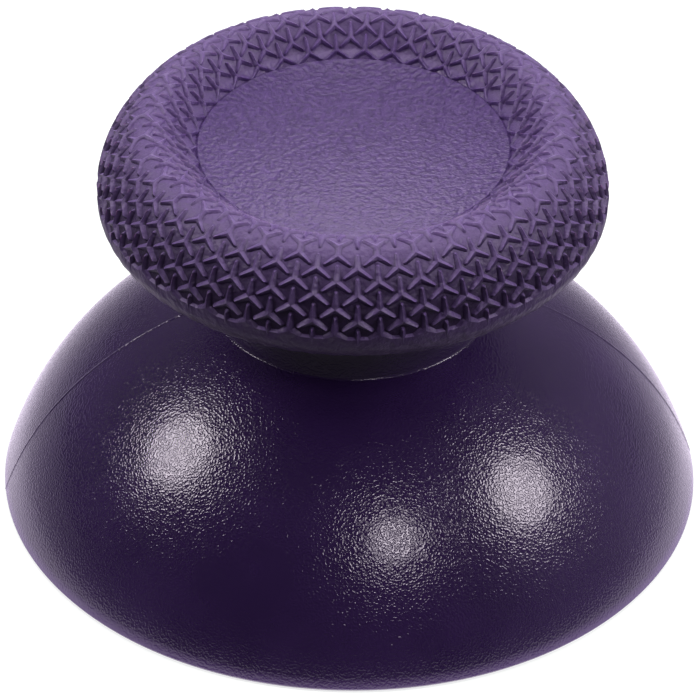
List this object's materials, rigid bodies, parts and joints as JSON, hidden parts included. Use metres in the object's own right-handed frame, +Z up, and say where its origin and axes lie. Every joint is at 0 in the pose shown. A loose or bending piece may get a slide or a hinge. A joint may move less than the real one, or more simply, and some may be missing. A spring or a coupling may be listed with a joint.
{
  "type": "thumbstick cap",
  "caption": "Thumbstick cap with a domed skirt, a short neck and a concave grip disc whose rim carries small raised three-armed stars.",
  "frame": {"origin": "centre of the skirt's lower edge, on the plane that the cap stands on", "axes": "+Z up along the stick, from the skirt to the dish; X runs along the two flats of the socket; the front is -Y"},
  "size_m": [0.0244, 0.0244, 0.015],
  "materials": {
    "hard_plastic": "satin, with a fine spark-eroded grain",
    "soft_grip": "matt, soft-touch"
  },
  "bodies": {
    "root": {"stick_body": "hard_plastic", "rubber_grip": "soft_grip"}
  },
  "joints": []
}
